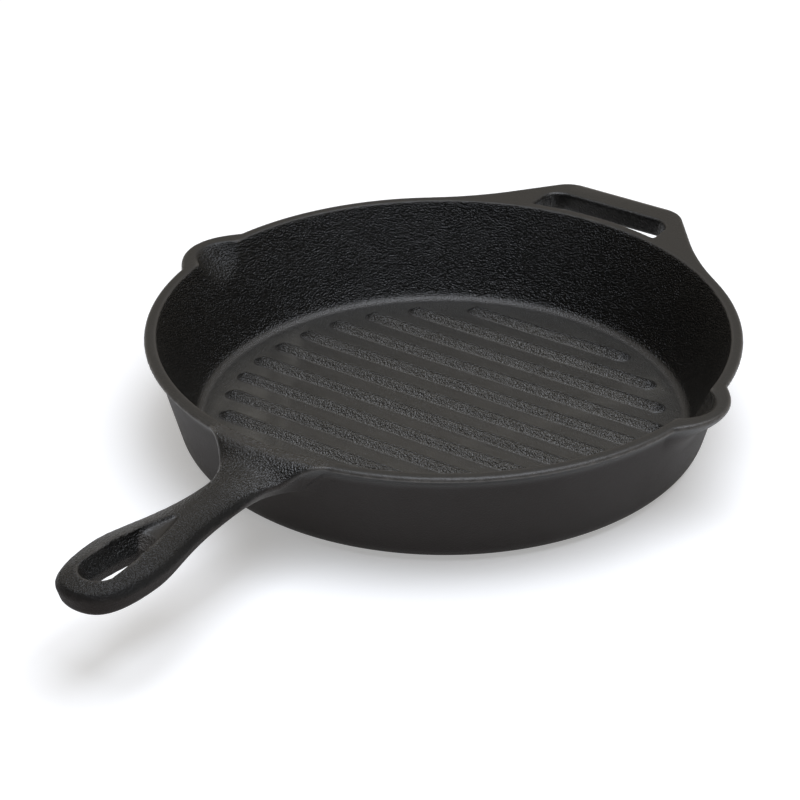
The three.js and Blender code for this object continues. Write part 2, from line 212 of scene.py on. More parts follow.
def lipPush(angle, z, outerness, flareLine):
    # how far a pour lip moves the wall out, on its outside and on its inside
    depth = panHeight - z
    slope = tan(radians(bowl["outerDraft"]))
    heights, radii = zip(*flareLine)
    wall = np.where(z > heights[0], np.interp(z, heights, radii), radii[0] - (heights[0] - z) * slope)
    back = (bowl["lipReach"] + bowl["overhang"]) / (bowl["lipDepth"] - bowl["lipFace"])
    nose = rimRadius + bowl["lipReach"] - bowl["lipRadius"] - depth * slope
    nose = nose - back * softMax(depth - bowl["lipFace"], 0, bowl["lipFaceBlend"])
    reach = ellipseReach(angle, nose, bowl["lipRadius"], bowl["lipRadius"])
    outside = softMax(reach, wall, bowl["lipBlend"]) - wall

    inSlope = tan(radians(bowl["innerDraft"]))
    inWall = rimRadius - bowl["rimWidth"] - depth * inSlope
    fall = (bowl["lipReach"] + bowl["scoopDepth"] * inSlope) / bowl["scoopDepth"]
    deep = bowl["scoopRadius"] * sqrt(1 + fall * fall)
    centre = rimRadius + bowl["lipReach"] - bowl["rimWidth"] - depth * fall - deep
    scoop = ellipseReach(angle, centre, bowl["scoopRadius"], deep)
    inside = softMax(scoop, inWall, bowl["scoopBlend"]) - inWall
    return outerness * outside + (1 - outerness) * inside


def makeBowl():
    profile, flareLine = bowlProfile()
    span = bowl["lipSpan"]
    fine = np.arange(-span, span, 0.4)
    coarse = np.arange(span, 180 - span, 1.25)
    angles = np.radians(np.concatenate([fine + 90, coarse + 90, fine + 270, coarse + 270]))
    count = len(angles)
    offset = np.arctan2(np.sin(2 * angles - pi), np.cos(2 * angles - pi)) / 2  # from the nearer lip
    vertices = []
    for radius, z, outerness in profile:
        push = lipPush(offset, z, outerness, flareLine) if panHeight - z < bowl["lipZone"] else 0
        r = radius + push
        vertices += list(zip(r * np.cos(angles), r * np.sin(angles), np.full(count, z)))
    faces = []
    for ring in range(len(profile) - 1):
        for i in range(count):
            a, b = ring * count + i, ring * count + (i + 1) % count
            faces.append((a, b, b + count, a + count))
    base, floor = len(vertices), len(vertices) + 1
    vertices += [(0, 0, 0), (0, 0, bowl["floor"])]
    last = (len(profile) - 1) * count
    for i in range(count):
        faces.append((base, (i + 1) % count, i))
        faces.append((floor, last + i, last + (i + 1) % count))
    return makeObject("panCasting", vertices, faces)


def makeCore():
    # the wall's middle, which trims what the handles would leave inside the pan
    slope = tan(radians(bowl["outerDraft"]))
    wallTop = rimRadius - bowl["overhang"] - bowl["coreInset"]
    rimSide = rimRadius - bowl["coreRimInset"]
    flareZ = panHeight - bowl["flareHeight"]
    profile = [(wallTop - flareZ * slope, 0), (wallTop, flareZ)]
    profile += [(rimSide, flareZ + bowl["coreFlare"]), (rimSide, bowl["coreHeight"])]
    steps = 180
    turns = [2 * pi * i / steps for i in range(steps)]
    return closedLoft("core", [[(r * cos(t), r * sin(t), z) for t in turns] for r, z in profile])


# Long handle: rings from the underside up over the crown

handle = {
    "length": 117.5,
    "bulbThickness": 10.4,
    "waistThickness": 7.7,
    "bulbDrop": 3.6,
    "waistDrop": 6.3,
    "bulbCrown": 3.6,
    "waistCrown": 2.0,
    "crownSetback": 28.0,
    "bulbHalfWidth": 18.0,
    "bulbLength": 31.0,
    "waistHalfWidth": 10.7,
    "rootLength": 26.0,
    "rootRise": 10.0,
    "rootHalfWidth": 30.0,
    "rootFoot": 17.0,
    "rootSag": 3.5,
    "parting": 2.6,
    "rootParting": 0.9,
    "topInset": 1.8,
    "rootTopInset": 0.5,
    "lowerInset": 1.6,
    "lowerRound": 2.4,
    "bottomInset": 4.4,
    "lowerEase": (0.62, 0.36),  # shares of the inset and of the round, halfway along it
    "tipPull": (0.74, 0.66),  # the side's curve handles, as shares of its widths and lengths
    "shankPull": (0.25, 0.58),
    "rootPull": (0.42, 0.32, 0.5),
}
hole = {
    "setback": 8.3,
    "length": 54.7,
    "halfWidth": 8.9,
    "slimEnd": 1.2,
    "edgeInset": 0.35,
    "edgeDepth": 0.9,
    "rampInset": 0.9,
    "rampDepth": 2.8,
    "rampLength": 17.0,
    "waistInset": 4.1,
    "waistSetback": 21.0,
    "footInset": 2.5,
    "footSetback": 13.0,
    "slimPull": (0.24, 0.53),  # the flank's curve handles, as shares of its run and half width
    "bluntPull": (0.41, 0.98),
    "fold": 10,  # how much shorter the folded end gets
    "over": 6.0,  # past both faces, so that the cut goes through
}
handleReach = rimRadius + handle["length"]


def handleSide(rootY):
    tip = (-handleReach, 0)
    bulb = (handle["bulbLength"] - handleReach, handle["bulbHalfWidth"])
    waist = (-rimRadius - handle["rootLength"], handle["waistHalfWidth"])
    root = (-sqrt(rimRadius ** 2 - handle["rootHalfWidth"] ** 2), rootY)
    shank, flare = waist[0] - bulb[0], handle["rootLength"]
    (tipWide, tipLong), (leave, arrive) = handle["tipPull"], handle["shankPull"]
    rootLeave, rootArrive, rootWide = handle["rootPull"]
    curves = [
        [tip, (tip[0], bulb[1] * tipWide), (bulb[0] - handle["bulbLength"] * tipLong, bulb[1]), bulb],
        [bulb, (bulb[0] + shank * leave, bulb[1]), (waist[0] - shank * arrive, waist[1]), waist],
        [waist, (waist[0] + flare * rootLeave, waist[1]),
         (root[0] - flare * rootArrive, rootY * rootWide), root],
    ]
    side = []
    for curve, steps in zip(curves, (26, 26, 44)):
        side += bezierPoints(curve, steps)[1 if side else 0:]
    return side


def handleHeights(x, y):
    # edge of the top face, crown above it, widest line, underside
    waistX = -rimRadius - handle["rootLength"]
    bulbX = handle["bulbLength"] - handleReach
    shank = float(smoothStep(x, bulbX, waistX))
    drop = handle["bulbDrop"] + (handle["waistDrop"] - handle["bulbDrop"]) * shank
    thickness = handle["bulbThickness"] + (handle["waistThickness"] - handle["bulbThickness"]) * shank
    crown = handle["bulbCrown"] + (handle["waistCrown"] - handle["bulbCrown"]) * shank
    fall = float(smoothStep(sqrt(x * x + y * y), rimRadius, rimRadius + handle["rootRise"]))
    root = float(smoothStep(x, waistX, bowl["rimWidth"] - rimRadius))
    edge = panHeight - drop * fall
    parting = edge - handle["parting"] + (handle["parting"] - handle["rootParting"]) * root
    return edge, crown * fall, parting, panHeight - drop - thickness - handle["rootSag"] * root


def handleRing(side, inset, rootInset, towardsRidge, heightAt):
    ridgeStart = handle["crownSetback"] - handleReach
    half = []
    for p, t in side:
        root = float(smoothStep(p.x, -rimRadius - handle["rootLength"], -rimRadius))
        half.append(p - Vector((-t.y, t.x)) * (inset + (rootInset - inset) * root))
    half.append(half[-1] + Vector((handle["rootLength"], 0)))
    moved = [p.lerp(Vector((max(p.x, ridgeStart), 0)), towardsRidge) for p in half]
    right = [(p.x, -p.y, heightAt(*handleHeights(p.x, p.y))) for p in moved]
    left = [(p.x, p.y, heightAt(*handleHeights(p.x, p.y))) for p in moved[1:]]
    return right + left[::-1]


def loft(rings):
    # quads between closed rings, given from the bottom up and counter-clockwise from above
    count = len(rings[0])
    vertices = [p for ring in rings for p in ring]
    faces = []
    for k in range(len(rings) - 1):
        for i in range(count):
            a, b = k * count + i, k * count + (i + 1) % count
            faces.append((a, b, b + count, a + count))
    return vertices, faces


def closedLoft(name, rings):
    vertices, faces = loft(rings)
    count = len(rings[0])
    faces.append(tuple(reversed(range(count))))
    faces.append(tuple(len(vertices) - count + i for i in range(count)))
    return makeObject(name, vertices, faces)


def makeHandle():
    upper = handleSide(handle["rootHalfWidth"])
    lower = handleSide(handle["rootFoot"])
    under, inset = handle["lowerRound"], handle["bottomInset"]
    easeIn, easeUp = handle["lowerEase"]
    edge = (handle["topInset"], handle["rootTopInset"])
    # each section: side, insets, share of the way to the ridge, height from edge, crown, widest line and bottom
    sections = [
        (lower, inset, inset, 0.5, lambda e, c, w, b: b),
        (lower, inset, inset, 0, lambda e, c, w, b: b),
        (lower, inset * easeIn, inset * easeIn, 0, lambda e, c, w, b: b + under * easeUp),
        (lower, handle["lowerInset"], handle["lowerInset"], 0, lambda e, c, w, b: b + under),
        (upper, 0, 0, 0, lambda e, c, w, b: w),
        (upper, *edge, 0, lambda e, c, w, b: e),
    ]
    for towards in (0.12, 0.25, 0.4, 0.55, 0.7, 0.85, 0.95):
        rise = 1 - (1 - towards) ** 2
        sections.append((upper, *edge, towards, lambda e, c, w, b, rise=rise: e + c * rise))
    rings = [handleRing(*section) for section in sections]
    vertices, faces = loft(rings)
    count = len(rings[0])
    for start, flip in ((0, True), (len(vertices) - count, False)):
        cap = [(0, 1, count - 1)]
        for i in range(1, (count - 1) // 2):
            cap.append((i, i + 1, count - i - 1, count - i))
        for face in cap:
            face = tuple(start + i for i in face)
            faces.append(face[::-1] if flip else face)
    return makeObject("longHandle", vertices, faces)


def eggOutline(inset, setback, cut):
    # blunt towards the handle's tip, slim towards the pan; what lies past the cut is folded back to it
    startX = hole["setback"] - handleReach
    endX = startX + hole["length"] - setback
    half = hole["halfWidth"] - inset
    middle = startX + inset + half
    run = endX - middle
    slim = (endX - hole["slimEnd"] / 2, hole["slimEnd"])
    (slimRun, slimWide), (bluntRun, bluntWide) = hole["slimPull"], hole["bluntPull"]
    bends = [(endX - run * slimRun, half * slimWide), (middle + run * bluntRun, half * bluntWide)]
    flank = bezierPoints([slim, *bends, (middle, half)], 30)
    side = [tuple(p) for p, _ in flank[:-1]] + arcPoints(middle, 0, half, 90, 180, 14)
    cutX = startX + hole["length"] - cut
    outline = [(endX, 0)] + side + [(x, -y) for x, y in side[-2::-1]]
    return [(cutX + (x - cutX) / hole["fold"] if x > cutX else x, y) for x, y in outline]


def makeHole():
    # narrow at half thickness, with a shallow ramp at the slim end that follows the handle's top
    bottom = panHeight - handle["bulbDrop"] - handle["bulbThickness"]
    top = eggOutline(0, 0, 0)
    edge = eggOutline(hole["edgeInset"], hole["edgeInset"], 0)
    ramp = eggOutline(hole["rampInset"], 0, hole["rampLength"])
    waist = eggOutline(hole["waistInset"], hole["footSetback"], hole["waistSetback"])
    foot = eggOutline(hole["footInset"], hole["footSetback"], 0)
    over, middle = hole["over"], bottom + handle["bulbThickness"] / 2
    rings = []
    for outline, z in ((foot, bottom - over), (foot, bottom), (waist, middle)):
        rings.append([(x, y, z) for x, y in outline])
    for outline, depth in ((ramp, hole["rampDepth"]), (edge, hole["edgeDepth"]), (top, 0), (top, -over)):
        rings.append([(x, y, sum(handleHeights(x, 0)[:2]) - depth) for x, y in outline])
    return closedLoft("hole", rings)


# Helper handle: a plate with rounded edges and a finger slot

helper = {
    "length": 26.2,
    "thickness": 9.3,
    "bar": 13.1,
    "halfEdge": 30.0,
    "sideAngle": 38.0,
    "cornerCut": 7.0,
    "blend": 20.0,
    "slotEnd": 7.5,
    "slotCorner": 8.5,
    "edgeRound": 1.4,
    "sink": 12.0,  # into the wall, where the core trims it
    "over": 5.0,
}


def insetRing(points, inset, z):
    # the same outline moved inwards, at one height; outlines run counter-clockwise
    flat = [Vector(p) for p in points]
    ring = []
    for before, here, after in zip(flat[-1:] + flat[:-1], flat, flat[1:] + flat[:1]):
        first, second = (here - before).normalized(), (after - here).normalized()
        out = Vector((first.y + second.y, -first.x - second.x))
        out = out / max(out.length_squared / 2, 0.4)
        ring.append((here.x - out.x * inset, here.y - out.y * inset, z))
    return ring


def makeHelper():
    reach = rimRadius + helper["length"]
    slope = radians(helper["sideAngle"])
    corner = Vector((reach, helper["halfEdge"]))
    along = Vector((-cos(slope), sin(slope)))
    inwards = -corner.dot(along)
    toBend = inwards - sqrt(inwards ** 2 - corner.length_squared + rimRadius ** 2 + helper["blend"] ** 2)
    bend = corner + along * toBend
    sideEnd = corner + along * (toBend - helper["blend"])
    rootAt = atan2(bend.y, bend.x) + atan(helper["blend"] / rimRadius)
    root = Vector((cos(rootAt), sin(rootAt))) * rimRadius
    cornerStart = corner + along * helper["cornerCut"]
    cornerEnd = corner - Vector((0, helper["cornerCut"]))
    half = [Vector((root.x - helper["sink"], root.y))]
    half += [p for p, _ in bezierPoints([root, bend, sideEnd], 16)]
    half += [p for p, _ in bezierPoints([cornerStart, corner, cornerEnd], 10)]
    outline = [(p.x, -p.y) for p in half] + [(p.x, p.y) for p in half[::-1]]
    slotX = reach - helper["bar"]
    slotY = helper["halfEdge"] + helper["bar"] * tan(slope) - helper["slotEnd"]
    r = helper["slotCorner"]
    slot = [(root.x, -slotY)] + arcPoints(slotX - r, r - slotY, r, -90, 0, 12)
    slot += arcPoints(slotX - r, slotY - r, r, 0, 90, 12) + [(root.x, slotY)]

    low, edge = panHeight - helper["thickness"], helper["edgeRound"]
    turns = [radians(15 * i) for i in range(7)]
    plateRings = [insetRing(outline, edge * (1 - sin(t)), low + edge * (1 - cos(t))) for t in turns]
    plateRings += [insetRing(outline, edge * (1 - cos(t)), panHeight - edge * (1 - sin(t))) for t in turns]
    slotRings = [insetRing(slot, -edge * (1 - sin(t)), low + edge * (1 - cos(t))) for t in turns]
    slotRings += [insetRing(slot, -edge * (1 - cos(t)), panHeight - edge * (1 - sin(t))) for t in turns]
    below, above = low - helper["over"], panHeight + helper["over"]
    slotRings = [insetRing(slot, -edge, below)] + slotRings + [insetRing(slot, -edge, above)]
    plate = closedLoft("helper", plateRings)
    fingerSlot = closedLoft("fingerSlot", slotRings)
    cutAway(plate, fingerSlot)
    bpy.data.objects.remove(fingerSlot)
    return plate


casting = {
    "grid": 0.7,  # mm, finer than the sand's grain
    "keep": 0.32,  # share of the faces left after thinning
    "filletRounds": 60,
    "filletStep": 0.8,
    "fadeStep": 0.5,
    # where a fillet begins and where it is full, in mm along the handles, across them, out from the axis or up
    "handleAlong": (100, 112),
    "handleAcross": (50, 62),
    "helperAlong": (85, 96),
    "rimOut": (124.5, 127),
    "armOut": (150, 165),
    "wallOut": (116, 118),
    "wallUp": (34, 40),
    "fadeAcross": (58, 72, 84, 94),
    "fadeUp": (34, 36, 44, 46),
    "fadeAlong": 80,
    "fadeOutside": 121,
    "fadeFacing": -0.3,
}


def meshArrays(mesh):
    count = len(mesh.vertices)
    co = np.empty(count * 3)
    mesh.vertices.foreach_get("co", co)
    edges = np.empty(len(mesh.edges) * 2, dtype=np.int64)
    mesh.edges.foreach_get("vertices", edges)
    normal = np.empty(count * 3)
    mesh.vertex_normals.foreach_get("vector", normal)
    return co.reshape(-1, 3) / mm, edges.reshape(-1, 2), normal.reshape(-1, 3)


def neighbourMean(co, edges):
    count = len(co)
    share = np.bincount(edges.ravel(), minlength=count)
    total = np.stack([np.bincount(edges[:, 0], co[edges[:, 1], k], count)
                      + np.bincount(edges[:, 1], co[edges[:, 0], k], count) for k in range(3)], axis=1)
    return total / np.maximum(share, 1)[:, None]


def outwards(x, y, normal):
    # 1 where the surface faces away from the pan's axis, -1 where it faces the axis
    return (normal[:, 0] * x + normal[:, 1] * y) / np.maximum(np.hypot(x, y), 1)


def fillCorners(obj):
    # moves only hollow corners outwards, which gives the fillets of a casting where a handle meets the wall
    co, edges, normal = meshArrays(obj.data)
    x, y, z = co.T
    across, radius = np.abs(y), np.hypot(x, y)
    near = smoothStep(-x, *casting["handleAlong"]) * fadeOut(across, *casting["handleAcross"])
    near = np.maximum(near, smoothStep(x, *casting["helperAlong"]))
    zone = near * smoothStep(radius, *casting["rimOut"]) * fadeOut(radius, *casting["armOut"])
    lowWall = smoothStep(radius, *casting["wallOut"]) * fadeOut(z, *casting["wallUp"])
    zone = np.maximum(zone, near * lowWall) * casting["filletStep"]
    # where the helper's sides run out on the wall, their underside fades into it
    ends = band(across, *casting["fadeAcross"]) * band(z, *casting["fadeUp"]) * casting["fadeStep"]
    ends = ends * (x > casting["fadeAlong"]) * (radius > casting["fadeOutside"])
    ends = ends * (outwards(x, y, normal) > casting["fadeFacing"])
    for _ in range(casting["filletRounds"]):
        move = neighbourMean(co, edges) - co
        along = np.einsum("ij,ij->i", move, normal)
        co += normal * (np.clip(along, 0, None) * zone)[:, None] + move * ends[:, None]
    obj.data.vertices.foreach_set("co", (co * mm).ravel())
    obj.data.update()


def makeCasting():
    body = makeBowl()
    core = makeCore()
    long = makeHandle()
    drop = makeHole()
    short = makeHelper()
    cutAway(long, drop)
    for arm in (long, short):
        cutAway(arm, core)
    for tool in (drop, core):
        bpy.data.objects.remove(tool)
    arms = [body, long, short]
    with bpy.context.temp_override(active_object=body, object=body, selected_objects=arms,
                                   selected_editable_objects=arms):
        bpy.ops.object.join()
    remesh = body.modifiers.new("sand mould", "REMESH")
    remesh.mode = "VOXEL"
    remesh.voxel_size = casting["grid"] * mm
    bakeModifiers(body)
    print("casting remeshed:", len(body.data.polygons), "faces")
    fillCorners(body)
    soft = body.modifiers.new("soft", "SMOOTH")
    soft.factor = 0.5
    soft.iterations = 1
    thin = body.modifiers.new("thin", "DECIMATE")
    thin.ratio = casting["keep"]
    bakeModifiers(body)
    body.data.shade_smooth()
    print("casting done:", len(body.data.polygons), "faces")
    return body


pan = makeCasting()
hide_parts("pan_bowl", "long_handle", "helper_handle")
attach(pan, "root")


# Grill ribs: low rounded bars that run out into the floor

rib = {
    "pitch": 16.0,
    "count": 12,
    "height": 2.3,
    "halfTop": 0.7,
    "halfFoot": 4.7,
    "endRadius": 98.5,
    "endRun": 5.2,
    "sink": 0.3,
}


def makeRib(number, x):
    halfLength = sqrt(rib["endRadius"] ** 2 - x ** 2)
    reach = halfLength - rib["endRun"]
    steps, across, bends = 44, 12, 14
    turn = [pi * k / bends for k in range(bends + 1)]
    rings = []
    for i in range(across + 1):
        share = i / across  # from the foot to the top
        half = rib["halfFoot"] + (rib["halfTop"] - rib["halfFoot"]) * share
        rise = float(smoothStep(share, 0, 1)) * rib["height"]
        end = rib["endRun"] * half / rib["halfFoot"]
        far = [(x + half * cos(t), reach + end * sin(t)) for t in turn]
        near = [(x - half * cos(t), -reach - end * sin(t)) for t in turn]
        left = [(x - half, reach - 2 * reach * k / steps) for k in range(1, steps)]
        right = [(x + half, -reach + 2 * reach * k / steps) for k in range(1, steps)]
        rings.append([(px, py, bowl["floor"] + rise) for px, py in far + left + near + right])
    rings.insert(0, [(px, py, bowl["floor"] - rib["sink"]) for px, py, _ in rings[0]])
    obj = closedLoft(f"grillRib{number:02d}", rings)
    obj.data.shade_smooth()
    return obj


ribs = []
for i in range(rib["count"]):
    bar = makeRib(i + 1, (i - (rib["count"] - 1) / 2) * rib["pitch"])
    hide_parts(f"grill_rib_{i + 1:02d}")
    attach(bar, "root")
    ribs.append(bar)
print("ribs made:", len(ribs))


# Surface marks, kept on the mesh: how deep the sand grain is, where handling has worn the metal,
# where a paler colour paints in highlights and light, and where the skin got less oil

finish = {
    # shares of the sand grain's depth
    "wallGrain": 0.16,  # outer wall and base
    "insideGrain": 1.0,
    "floorGrain": 0.42,
    "flatTopGrain": 0.18,
    "handleSideGrain": 0.3,
    "handleTopGrain": 0.8,
    "holeGrain": 0.9,
    "rootGrain": 0.8,
    "helperGrain": 0.4,
    "ribFootGrain": 0.3,
    "rampSmooth": 0.75,
    "cornerSmooth": 0.5,
    # shares of worn metal, and of painted light in the same paler colour
    "handleSpared": 0.5,  # of the edges' wear, taken off on the long handle
    # partly wear, partly a painted highlight: a paler colour for the glint on the fillet round the floor
    "cornerWearAndGlint": 0.18,
    # painted light: the upward-facing ramp in the hanging hole made paler where light falls on it
    "rampLight": 0.05,
    "holeEndLight": 0.35,  # painted light: paler on the hole's pan-side end walls, which face the handle's tip
    "ribWear": 0.03,
    # partly wear, partly painted sheen: the ribs' sloping sides made paler for their glints
    "ribShoulderWearAndSheen": 0.09,
    "ribScoured": 0.7,
    # shares of dry skin
    "outsideDry": 0.64,
    "insideDry": 0.25,
    "handleDry": 0.45,
    "handleEdgeDry": 0.25,
    "handleSideDry": 0.3,
}
zones = {  # where a mark begins and where it is full
    # mm along the handles, measured from the pan's axis
    "handle": (127, 136),
    "helper": (104, 124),
    "rootAlong": (116, 124),
    "dryAlong": (142, 165),
    "holeAlong": (-240, -236),
    "holeEndAlong": (-216, -208),
    # mm across the handles
    "helperAcross": (56, 74),
    "rootAcross": (24, 36),
    "holeAcross": (8, 11),
    "holeMargin": 0.2,
    "handleHalf": 45,
    # mm out from the axis
    "floorOut": (104.5, 106.5),
    "rootOut": (140, 152),
    "scouredOut": (96, 110),
    "ribOut": (82, 99),
    "insideOut": 143,
    # mm above the base
    "helperUp": (36, 38),
    "outsideUp": (40, 46),
    "flatTopUp": (46.5, 48),
    "rootUp": (40, 43),
    "dryUp": (11, 16),
    "floorTop": 9,
    "cornerTop": 10,
    "scouredTop": 12,
    # mm above the floor and from a rib's middle
    "ribFoot": (0.02, 0.4),
    "ribShoulder": (1.2, 2.2, 3.4, 4.4),
    # how far the surface faces the axis, away from it or up
    "inside": (0.08, 0.35),
    "corner": (0.08, 0.3, 0.6, 0.85),
    "outside": (0.2, 0.6),
    "holeEndFacing": (0.3, 0.6),
    "holeFacing": (0.6, 0.9),
    "floorFacing": (0.82, 0.95),
    "flatFacing": (0.6, 0.9),
    "rootFacing": (0.6, 0.85),
    "topFacing": (0.5, 0.9),
    "rampFacing": (0.75, 0.9),
    "scouredFacing": (0.75, 0.95),
    "underFacing": (-0.3, 0.3),
    "crownFacing": (0.85, 0.98),
    "sideFacing": (-0.1, 0.5),
    # mm that a vertex stands out from its neighbours
    "sharp": (0.02, 0.09),
}


def setMarks(obj, marks):
    for name, values in marks.items():
        mark = obj.data.attributes.new(name, "FLOAT", "POINT")
        mark.data.foreach_set("value", values.astype(np.float32))


def markCasting(obj):
    co, edges, normal = meshArrays(obj.data)
    x, y, z = co.T
    across, radius = np.abs(y), np.hypot(x, y)
    facing, up = outwards(x, y, normal), normal[:, 2]
    onHandle = smoothStep(-x, *zones["handle"]) * (across < zones["handleHalf"])
    onHelper = smoothStep(x, *zones["helper"]) * fadeOut(across, *zones["helperAcross"])
    onHelper = onHelper * smoothStep(z, *zones["helperUp"])
    inside = smoothStep(-facing, *zones["inside"]) * (radius < zones["insideOut"])
    outside = smoothStep(facing, *zones["outside"]) * (1 - onHelper) * fadeOut(z, *zones["outsideUp"])
    floor = smoothStep(up, *zones["floorFacing"]) * fadeOut(radius, *zones["floorOut"])
    floor = floor * (z < zones["floorTop"])
    corner = band(-facing, *zones["corner"]) * (z < zones["cornerTop"])  # around the floor
    flatTop = smoothStep(up, *zones["flatFacing"]) * smoothStep(z, *zones["flatTopUp"])
    root = smoothStep(up, *zones["rootFacing"]) * smoothStep(-x, *zones["rootAlong"])
    root = root * fadeOut(radius, *zones["rootOut"]) * smoothStep(z, *zones["rootUp"])
    root = root * fadeOut(across, *zones["rootAcross"])
    holeWall = onHandle * fadeOut(across, *zones["holeAcross"]) * smoothStep(x, *zones["holeAlong"])
    holeWall = holeWall * fadeOut(up, *zones["holeFacing"])
    eggX, eggY = np.array([p for p in eggOutline(0, 0, 0) if p[1] >= 0][::-1]).T
    inHole = onHandle * (across < np.interp(x, eggX, eggY, 0, 0) - zones["holeMargin"])
    # the hole's pan-side end walls, facing the handle's tip, which get painted light
    holeEnd = inHole * smoothStep(-normal[:, 0], *zones["holeEndFacing"]) * smoothStep(x, *zones["holeEndAlong"])
    ramp = inHole * smoothStep(up, *zones["rampFacing"])

    low, high = finish["handleSideGrain"], finish["handleTopGrain"]
    grain = finish["wallGrain"] + inside * (finish["insideGrain"] - finish["wallGrain"])
    grain = grain * (1 - floor) + finish["floorGrain"] * floor
    grain = grain * (1 - flatTop) + finish["flatTopGrain"] * flatTop
    grain = grain * (1 - onHandle) + onHandle * (low + (high - low) * smoothStep(up, *zones["topFacing"]))
    grain = np.maximum(grain, holeWall * finish["holeGrain"])
    grain = np.maximum(grain, root * finish["rootGrain"])
    grain = grain * (1 - finish["rampSmooth"] * ramp)
    grain = np.maximum(grain, onHelper * (1 - flatTop) * finish["helperGrain"])
    grain = grain * (1 - finish["cornerSmooth"] * corner)

    hollow = np.einsum("ij,ij->i", neighbourMean(co, edges) - co, normal)
    for _ in range(3):
        hollow = neighbourMean(np.repeat(hollow[:, None], 3, axis=1), edges)[:, 0]
    wearAndLight = smoothStep(-hollow, *zones["sharp"]) * (1 - finish["handleSpared"] * onHandle)
    # painted light in a paler colour: the glint on the fillet round the floor (partly wear too), the lit ramp
    # and the hole's end walls
    rubbedAndLit = finish["cornerWearAndGlint"] * corner + finish["rampLight"] * ramp + finish["holeEndLight"] * holeEnd
    wearAndLight = np.maximum(wearAndLight, rubbedAndLit)
    brown = np.maximum(outside, onHandle * fadeOut(up, *zones["underFacing"]))
    scoured = fadeOut(radius, *zones["scouredOut"]) * smoothStep(up, *zones["scouredFacing"])
    scoured = scoured * (z < zones["scouredTop"])
    dry = finish["handleDry"] + finish["handleEdgeDry"] * fadeOut(up, *zones["crownFacing"])
    dry = dry + finish["handleSideDry"] * fadeOut(up, *zones["sideFacing"])
    dry = dry * onHandle * smoothStep(-x, *zones["dryAlong"]) * (1 - ramp)
    dry = np.maximum(dry, finish["outsideDry"] * outside)
    dry = np.maximum(dry, finish["insideDry"] * inside * smoothStep(z, *zones["dryUp"]) * (1 - onHandle))
    setMarks(obj, {"grain": grain, "wearAndLight": wearAndLight, "brown": brown, "scoured": scoured, "dry": dry})


def markRib(obj):
    x, y, z = meshArrays(obj.data)[0].T
    side = np.abs(x - x.mean())
    foot = finish["ribFootGrain"]
    grain = foot + (1 - foot) * smoothStep(z - bowl["floor"], *zones["ribFoot"])
    # lighter rib sides: wear, and painted sheen
    wearAndLight = finish["ribWear"] + finish["ribShoulderWearAndSheen"] * band(side, *zones["ribShoulder"])
    scoured = finish["ribScoured"] * fadeOut(np.hypot(x, y), *zones["ribOut"])
    setMarks(obj, {"grain": grain, "wearAndLight": wearAndLight, "scoured": scoured})


markCasting(pan)
for bar in ribs:
    markRib(bar)
print("surface marked")


# Seasoned cast iron, poured in sand and baked with oil: a near-black skin with a low sheen,
# pebbled by the sand where nothing rubbed it, greyer and smoother where it was ground or handled,
# paler where highlights and light are painted in on the floor's fillet, the ribs' sides and in the hanging hole

iron = {
    "skin": "#090909",
    "skinGrey": "#0f0f0e",
    "brown": "#211b18",
    # worn metal, also the paler colour of the painted highlights
    "wornAndLit": "#68645f",
    "scoured": "#4b4944",
    "sandGrain": 0.75,  # mm between the sand's bumps
    "grainDepth": 1.0,  # mm
    "fineGrain": 0.6,  # mm; the real one is about 0.2, too fine to show
    "fineDepth": 0.1,
    "wave": 14.0,  # mm, slow unevenness of the mould
    "waveDepth": 0.3,
    "blotch": 28.0,  # mm, patches of thicker and thinner oil
    "blotchRoughness": 0.06,
    "smoothRoughness": 0.5,
    "grainRoughness": 0.19,
    "specular": 0.6,
    "drySpecular": 0.16,  # on the handle and the outside, which get less oil
    "dryRoughness": 0.25,
    "scuff": 2.0,  # mm across the marks of scouring, which run along the ribs
    "scuffStretch": 0.15,
    "scuffShare": 0.5,  # of the scoured grey, left in the darkest marks
}


